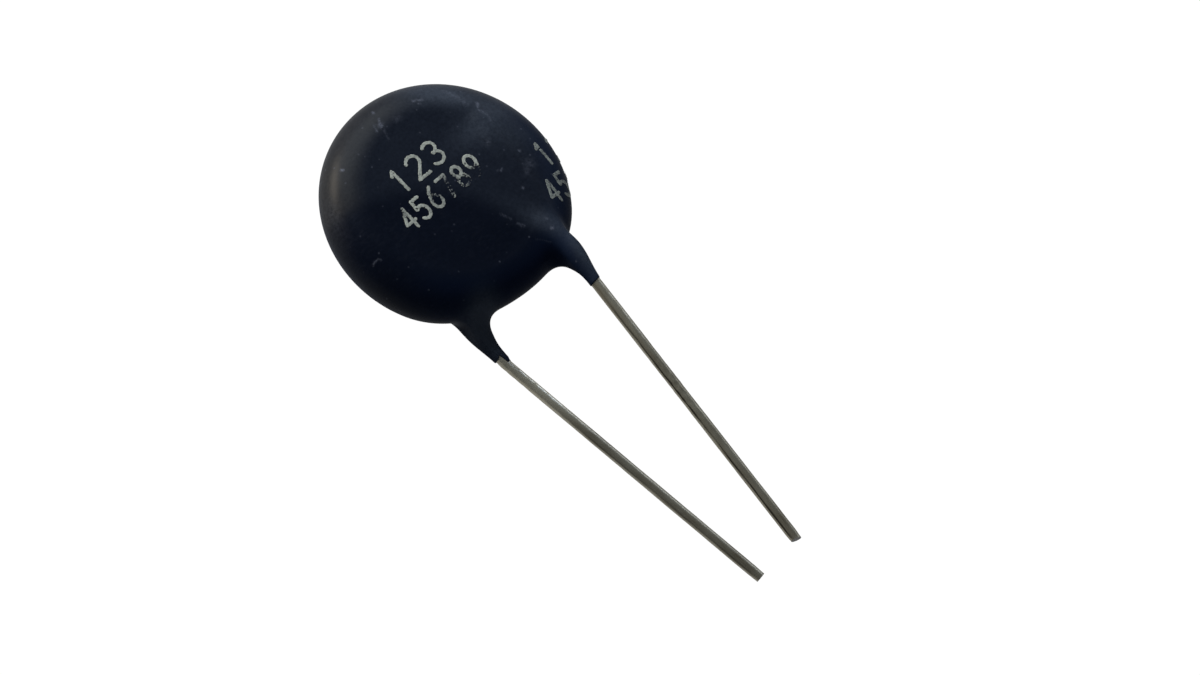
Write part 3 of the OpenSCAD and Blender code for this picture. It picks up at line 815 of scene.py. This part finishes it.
def ink_film(skin, stamp):
    """The worn print as thin closed flakes on the skin: points, faces and how faded each point is."""
    cell, half = stamp.cell * MM, stamp.stroke * MM / 2
    all_points, all_faces, all_fade, base = [], [], [], 0
    for digit, left, low, width, height, strength in stamp_layout(stamp):
        lines = strokes_of(digit) * (width, height / 2) + (left, low)
        us = np.arange(left - MARGIN, left + width + MARGIN, cell)
        vs = np.arange(low - MARGIN, low + height + MARGIN, cell)
        u, v = np.meshgrid(us, vs, indexing="ij")
        shape, fade = worn_digit(u, v, lines, half, strength)
        inside_rim = np.hypot(u, v) < skin.r - BARE_RIM
        mid = (shape[:-1, :-1] + shape[1:, :-1] + shape[:-1, 1:] + shape[1:, 1:]) / 4
        keep = (mid < 0) & inside_rim[:-1, :-1] & inside_rim[1:, 1:]
        if not keep.any():
            continue
        i, j = np.argwhere(keep).T
        number_of = np.arange(u.size).reshape(u.shape)
        quads = np.stack([number_of[i, j], number_of[i + 1, j], number_of[i + 1, j + 1], number_of[i, j + 1]], -1)
        used, packed = np.unique(quads, return_inverse=True)
        packed, count = packed.reshape(quads.shape), len(used)
        faces_at = np.bincount(packed.ravel(), minlength=count)
        gu, gv, u, v, shape, fade = (g.ravel()[used] for g in (*np.gradient(shape, cell), u, v, shape, fade))
        size = np.maximum(np.hypot(gu, gv), 0.4)
        step = np.clip(shape / size, -0.5 * cell, 0.5 * cell) * (faces_at < 4) / size
        on_skin = skin.top(u - gu * step, v - gv * step)
        normal = skin.slope(on_skin)
        normal /= np.linalg.norm(normal, axis=-1, keepdims=True)
        edges = np.concatenate([packed[:, [k, (k + 1) % 4]] for k in range(4)])
        _, first, times = np.unique(edges.min(1) * count + edges.max(1), return_index=True, return_counts=True)
        a, b = edges[first[times == 1]].T
        walls = np.stack([b, a, a + count, b + count], -1)
        all_points += [on_skin + normal * stamp.film * MM, on_skin - normal * ROOT]
        all_faces.append(np.concatenate([packed, packed[:, ::-1] + count, walls]) + base)
        all_fade += [fade] * 2
        base += 2 * count
    return np.concatenate(all_points), np.concatenate(all_faces), np.concatenate(all_fade)


# -------- marks on the coating

# Rubbed places on the resin, in millimetres: x, y, length, width, turn in degrees, strength
SCUFFS = (
    (-0.7, 8.5, 0.5, 0.4, 0.0, 0.9), (0.9, 8.0, 0.9, 0.7, 0.0, 0.22),
    (7.05, -2.45, 1.1, 0.8, -30.0, 0.3), (6.3, -2.85, 0.9, 0.5, 20.0, 0.3),
    (5.5, 1.35, 0.9, 0.6, 40.0, 0.22), (-9.3, 5.4, 3.0, 1.0, 60.0, 0.12),
    (-5.0, -12.6, 1.2, 0.8, 80.0, 0.2),
)

# Scratches and flecks on the resin, and the arcs of a painted highlight on its upper right rim, in millimetres:
# their points, then width and strength
MARKS = (
    ((-0.05, 9.95), (-0.15, 9.8), 0.22, 0.7), ((-0.3, 9.1), (-0.5, 8.8), 0.2, 0.6),
    ((-0.65, 8.7), (-0.8, 8.35), 0.28, 0.7), ((-0.8, 8.1), (-1.15, 7.0), 0.2, 0.3),
    ((-1.1, 8.9), (-1.4, 8.3), 0.2, 0.45), ((3.2, 8.4), (3.6, 8.2), (3.95, 7.9), 0.24, 0.6),
    ((3.35, 7.9), (3.5, 7.75), 0.18, 0.6), ((-6.15, 7.8), (-6.05, 7.65), 0.2, 0.9),
    # Painted highlight: the arcs along the upper right rim, from (6.2, 7.3) down to (7.6, 4.6)
    ((6.2, 7.3), (6.6, 6.3), (6.7, 5.1), 0.5, 0.2), ((6.5, 6.5), (6.75, 5.3), 0.22, 0.35),
    ((7.55, 4.7), (7.3, 4.3), (7.15, 4.0), (7.4, 3.2), (7.25, 2.6), 0.22, 0.5),
    ((7.6, 4.6), (7.45, 4.35), 0.3, 0.7), ((5.5, 1.4), (5.6, 1.2), 0.24, 0.5),
    ((7.2, -1.0), (7.25, -1.1), 0.2, 0.8), ((4.3, -1.1), (4.5, -1.35), (4.75, -1.3), 0.14, 0.6),
    ((4.85, -3.7), (4.9, -3.8), 0.2, 0.6), ((4.45, -7.1), (4.5, -7.2), 0.22, 0.6),
    ((4.2, -8.05), (4.28, -8.15), 0.24, 1.0), ((1.6, -4.25), (2.0, -5.2), 0.16, 0.35),
    ((2.15, -5.8), (2.5, -6.4), 0.18, 0.5), ((2.4, -7.9), (2.7, -8.1), (3.5, -9.0), 0.12, 0.2),
    ((-10.2, -0.4), (-9.95, -0.25), (-9.6, -0.35), (-9.5, -0.5), 0.14, 0.5),
)

# Broad patches of painted sheen, and painted light on the shaded necks, laid out as the scuffs are: right of the
# print, right shoulder, top and left edges, swell over the right wire, root and length of its neck, left web,
# left neck
SHEEN_PATCHES = (
    (6.2, 2.9, 6.4, 2.8, 0.0, 1.0), (7.6, 0.8, 4.4, 3.0, -70.0, 0.5),
    (6.0, 6.8, 7.0, 2.3, -50.0, 1.2), (-7.6, 7.9, 6.0, 1.6, 45.0, 0.2),
    (-10.3, 4.0, 5.0, 1.4, 68.0, 0.15), (3.5, -5.9, 7.0, 2.0, -60.0, 0.35),
    (4.4, -7.5, 3.2, 1.9, -60.0, 1.0), (4.5, -11.8, 5.0, 1.2, 80.0, 1.4),
    (-5.2, -9.9, 3.0, 3.0, 80.0, 3.0), (-5.2, -12.2, 2.8, 1.8, 80.0, 1.6),
)
# The painted sheen's slanting soft edge, lighter above it: way across it, place, bow, reach below and above, and
# strength
EDGE_WAY, EDGE_AT, EDGE_BOW, EDGE_BELOW, EDGE_ABOVE, EDGE_SHEEN = (0.736, 0.677), -0.4, 0.035, 0.9, 1.3, 0.33
# The rim's band, as distances from the middle, and the band of Y over which a neck starts
RIM_BAND, NECK_BAND = (7.4, 9.6), (-8.6, -10.2)
# Ways towards the upper left edge's painted warm highlight and towards the low side, which gets painted fill
# light
WARM_HIGHLIGHT_WAY, LOW_WAY = (-0.69, 0.72), (0.3, -0.76)


def paint(obj, skin):
    """Keeps where the coating is scuffed, and where light and shade are painted on it: sheen, highlight arcs, a
    warm highlight on the upper left edge, and fill light on the side turned away from the light.
    """
    x, y, z = stand_up(read(obj.data.vertices, "co")).T
    rho = np.hypot(x, y)
    marks = sum(row[5] * hump(x, y, row[:5]) for row in SCUFFS) * (z > 0)
    for *line, wide, strength in MARKS:
        far = stroke_distance(x, y, list(zip(line[:-1], line[1:])))
        marks = np.maximum(marks, strength * (1 - ease(0.2 * wide, 0.75 * wide, far)) * (z > 0))
    store(obj, "scuff_and_highlight", np.clip(marks, 0, 1))

    # Painted sheen: lighter above a soft slanting edge and in broad patches. It is full on the front face and on
    # each neck's side over its wire, where the lamps fall, and fades towards the rear
    across, along = EDGE_WAY[0] * x + EDGE_WAY[1] * y, -EDGE_WAY[1] * x + EDGE_WAY[0] * y
    edge = EDGE_AT - EDGE_BOW * along ** 2
    painted_sheen = EDGE_SHEEN * ease(edge - EDGE_BELOW, edge + EDGE_ABOVE, across)
    painted_sheen = painted_sheen + sum(row[5] * hump(x, y, row[:5]) for row in SHEEN_PATCHES)
    neck = ease(*NECK_BAND, y)
    over_wire = np.where(x > 0, z - skin.front.z, z - skin.rear.z)
    store(obj, "painted_sheen", painted_sheen * (ease(-1.5, 1.0, z) * (1 - neck) + neck * ease(-0.5, 0.3, over_wire)))

    rim = ease(*RIM_BAND, rho)
    # Painted warm highlight on the upper left part of the rim
    store(obj, "warm_highlight", ease(2.0, 6.0, WARM_HIGHLIGHT_WAY[0] * x + WARM_HIGHLIGHT_WAY[1] * y) * ease(5.5, -1.0, x) * rim)
    # The low side: the rim turned away from the lamps, and the rear. It gets painted fill light and less gloss
    turned = ease(-0.2, 0.5, (LOW_WAY[0] * x + LOW_WAY[1] * y) / np.maximum(rho, 1e-6))
    store(obj, "low_side", np.maximum(rim * turned, ease(0.5, -1.0, z)))


# -------- operators

# The solids inside the coating, with their finishes
INSIDE = {"ceramic_disc": "sintered_oxide", "front_electrode": "fired_silver", "rear_electrode": "fired_silver",
          "front_solder": "frosted_solder", "rear_solder": "frosted_solder"}


def merged_copy(node):
    """A copy of a packed solid with its loose triangles joined."""
    mesh = node.data.copy()
    work = bmesh.new()
    work.from_mesh(mesh)
    bmesh.ops.transform(work, matrix=node.matrix_world, verts=work.verts)
    bmesh.ops.remove_doubles(work, verts=work.verts, dist=1e-7)
    work.to_mesh(mesh)
    work.free()
    return link("cutter_" + node.name, mesh)


class THERMISTOR_OT_coating(bpy.types.Operator):
    """Build the dipped skin, hollowed for everything inside it"""

    bl_idname = "thermistor.coating"
    bl_label = "Coating"

    def execute(self, context):
        coat = context.scene.thermistor_coating
        skin = Skin(coat, context.scene.thermistor_leads)
        reach, deep, under = skin.r + 0.3, 4.2, 0.9
        low = (-reach, skin.front.y - under, -deep)
        points, quads = net_over(skin, low, (reach, reach, deep), coat.mesh_step * MM)
        points = np.clip(lay_down(skin.settle(points)), *CAD_BOX)
        obj = mesh_object("whole_skin", points, quads)
        cutters = [merged_copy(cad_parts[node]) for node in (*INSIDE, "front_lead", "rear_lead")]
        for cutter in cutters:
            cut = obj.modifiers.new(cutter.name, "BOOLEAN")
            cut.operation, cut.solver, cut.object = "DIFFERENCE", "MANIFOLD", cutter
        hollow = evaluated_mesh(obj, "dipped_coating")
        obj.modifiers.clear()
        old, obj.data, obj.name = obj.data, hollow, "dipped_coating"
        for mesh in (old, *(cutter.data for cutter in cutters)):
            bpy.data.meshes.remove(mesh)
        hollow.shade_smooth()
        paint(obj, skin)
        hollow.materials.clear()
        hollow.materials.append(resin_material(coat))
        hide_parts("resin_coating")
        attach(obj, "root")
        return {"FINISHED"}


class THERMISTOR_OT_stamp(bpy.types.Operator):
    """Print the worn digits on the front face"""

    bl_idname = "thermistor.stamp"
    bl_label = "Stamp"

    def execute(self, context):
        scene = context.scene
        skin = Skin(scene.thermistor_coating, scene.thermistor_leads)
        points, faces, fade = ink_film(skin, scene.thermistor_stamp)
        obj = mesh_object("ink_digits", lay_down(points), faces)
        store(obj, "fade", fade)
        obj.data.materials.append(ink_material(scene.thermistor_stamp, scene.thermistor_coating))
        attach(obj, "root")
        return {"FINISHED"}


class THERMISTOR_OT_leads(bpy.types.Operator):
    """Sweep both tinned wires and cut their ends"""

    bl_idname = "thermistor.leads"
    bl_label = "Leads"

    def execute(self, context):
        leads = context.scene.thermistor_leads
        both, radius = wires(context.scene.thermistor_coating, leads), leads.diameter / 2
        for k, (side, own) in enumerate(FINISHES.items()):
            name, path = "tinned_" + side + "_lead", wire_path(both[k], leads.bend_radius * MM)
            sizes = {
                "Radius": radius, "Ring step": leads.ring_step, "Sides": leads.sides, "Dent depth": leads.dent,
                "Rough length": own.rough_length, "Seed": own.seed,
                "Rough start": leads.inner[k] + own.rough_from,
            }
            tree = tube_tree(name, wire_material(name, leads, own.shine, own.groove), sizes)
            obj = swept_wire(name, path, tree, sizes)
            way = path[-1] - path[-2]
            way /= np.linalg.norm(way)
            nx, nz = read(obj.data.vertex_normals, "vector")[:, [0, 2]].T
            size = np.maximum(np.hypot(nx, nz), 1e-6) / radius
            run = read(obj.data.attributes["run"].data, "vector")
            run[:, 0], run[:, 2] = nx / size, nz / size
            obj.data.attributes["run"].data.foreach_set("vector", run.ravel())
            store(obj, "cut", read(obj.data.polygons, "normal")[:, :2] @ way[:2] > CUT_FACING, "FACE")
            shape_tip(obj, path[-1], way, own)
            node = side + "_lead"
            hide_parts(node)
            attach(obj, "root")
        return {"FINISHED"}


class THERMISTOR_OT_inside(bpy.types.Operator):
    """Give the ceramic, the silver and the solder their finishes"""

    bl_idname = "thermistor.inside"
    bl_label = "Inside"

    def execute(self, context):
        made = {name: inner_material(name) for name in INNER}
        for node, name in INSIDE.items():
            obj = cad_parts[node]
            if not obj.material_slots:
                obj.data.materials.append(None)
            for slot in obj.material_slots:
                slot.material = made[name]
        return {"FINISHED"}


# -------- stage

# Lamps: way to each in the disc's own frame, distance, width and height in metres, radiance and tint
LAMPS = {
    "window": ((0.14, 0.83, 0.54), 0.6, 0.6, 0.46, 4.5, (0.84, 0.93, 1.0)),
    "warm_lamp": ((-0.34, 0.93, 0.15), 0.5, 0.2, 0.13, 22.0, (1.0, 0.9, 0.74)),
    "side_panel": ((0.92, 0.16, 0.38), 0.6, 0.5, 0.14, 1.9, (0.9, 0.95, 1.0)),
}
ROOM_TINT, ROOM_LEVEL = (0.9, 0.95, 1.0, 1.0), 0.13
# The floor's radius, sides, place just under the part and grey
FLOOR_RADIUS, FLOOR_SIDES, FLOOR_Z, FLOOR_GREY = 1.6, 96, -0.00002, 0.4
# The floor's white, and its share in what the camera and what reflections see
WHITE, SEEN_SHARE, MIRRORED_SHARE = 1.12, 0.9, 0.32


def lamp(name, way, distance, wide, high, radiance, tint):
    """A soft panel that shines on the disc's middle."""
    target = Vector(lay_down(np.zeros(3)))
    spot = Vector(lay_down(np.array(way) / np.linalg.norm(way) * distance * MM))
    light = bpy.data.lights.new(name, "AREA")
    light.shape = "RECTANGLE"
    light.size, light.size_y = wide, high
    light.energy = radiance * math.pi * wide * high
    light.color = tint
    obj = link(name, light)
    obj.location = spot
    obj.rotation_euler = (target - spot).to_track_quat("-Z", "Y").to_euler()


def floor_material():
    """Pale floor: white to the camera and in reflections, with the part's soft shadow."""
    material, n = bare_material("pale_floor")
    plain = n.add("BsdfDiffuse", {"Color": rgba((1, 1, 1), FLOOR_GREY)}).outputs[0]
    white = n.add("Emission", {"Color": rgba((1, 1, 1)), "Strength": WHITE}).outputs[0]
    path = n.add("LightPath").outputs
    seen = n.math("MAXIMUM", path["Is Camera Ray"], path["Is Transmission Ray"])
    part = n.math("MAXIMUM", n.times(seen, SEEN_SHARE), n.times(path["Is Glossy Ray"], MIRRORED_SHARE))
    mixed = n.add("MixShader", {0: part, 1: plain, 2: white}).outputs[0]
    n.add("OutputMaterial", {"Surface": mixed})
    return material


class THERMISTOR_OT_stage(bpy.types.Operator):
    """Set the camera, the lamps, the floor and the world"""

    bl_idname = "thermistor.stage"
    bl_label = "Stage"

    def execute(self, context):
        scene = context.scene
        s = scene.thermistor_stage
        view, right = Vector(s.view).normalized(), Vector(s.right)
        right = (right - view * right.dot(view)).normalized()
        down = view.cross(right)
        spot = (right * s.across + down * s.down - view * s.distance) * MM
        turn = [Vector(lay_down(np.array(v) * MM)) - Vector(lay_down(np.zeros(3))) for v in (right, -down, -view)]
        place = Matrix([list(v.normalized()) for v in turn]).transposed().to_4x4()
        place.translation = Vector(lay_down(np.array(spot)))
        data = bpy.data.cameras.new("camera")
        data.lens = s.lens
        scene.camera = link("camera", data)
        scene.camera.matrix_world = place

        turns = 2 * math.pi * np.arange(FLOOR_SIDES) / FLOOR_SIDES
        ring = np.stack([FLOOR_RADIUS * np.cos(turns), FLOOR_RADIUS * np.sin(turns), 0 * turns + FLOOR_Z], -1)
        floor = mesh_object("floor", ring, np.arange(FLOOR_SIDES)[None, :])
        floor.data.materials.append(floor_material())

        for name, settings in LAMPS.items():
            lamp(name, *settings)
        world = bpy.data.worlds.new("room")
        world.use_nodes = True
        background = world.node_tree.nodes["Background"]
        background.inputs["Color"].default_value = ROOM_TINT
        background.inputs["Strength"].default_value = ROOM_LEVEL
        scene.world = world
        scene.view_settings.view_transform = "Standard"
        return {"FINISHED"}


class THERMISTOR_PT_panel(bpy.types.Panel):
    """Lists the part's builders and sizes"""

    bl_idname = "THERMISTOR_PT_panel"
    bl_label = "Disc thermistor"
    bl_space_type = "VIEW_3D"
    bl_region_type = "UI"
    bl_category = "Thermistor"

    def draw(self, context):
        layout = self.layout
        for operator in OPERATORS:
            layout.operator(operator.bl_idname)
        for label, group in GROUPS.items():
            box = layout.box()
            box.label(text=group.__doc__)
            for name in group.__annotations__:
                box.prop(getattr(context.scene, label), name)


GROUPS = {"thermistor_pose": ThermistorPose, "thermistor_coating": ThermistorCoating,
          "thermistor_leads": ThermistorLeads, "thermistor_stamp": ThermistorStamp,
          "thermistor_stage": ThermistorStage}
OPERATORS = (THERMISTOR_OT_coating, THERMISTOR_OT_stamp, THERMISTOR_OT_leads, THERMISTOR_OT_inside,
             THERMISTOR_OT_stage)


def register():
    for item in (*GROUPS.values(), *OPERATORS, THERMISTOR_PT_panel):
        bpy.utils.register_class(item)
    for label, group in GROUPS.items():
        setattr(bpy.types.Scene, label, PointerProperty(type=group))


def unregister():
    for label in GROUPS:
        delattr(bpy.types.Scene, label)
    for item in reversed((*GROUPS.values(), *OPERATORS, THERMISTOR_PT_panel)):
        bpy.utils.unregister_class(item)


def main():
    register()
    bpy.ops.thermistor.coating()
    bpy.ops.thermistor.leads()
    bpy.ops.thermistor.stamp()
    bpy.ops.thermistor.inside()
    bpy.ops.thermistor.stage()


if __name__ == "__main__":
    main()
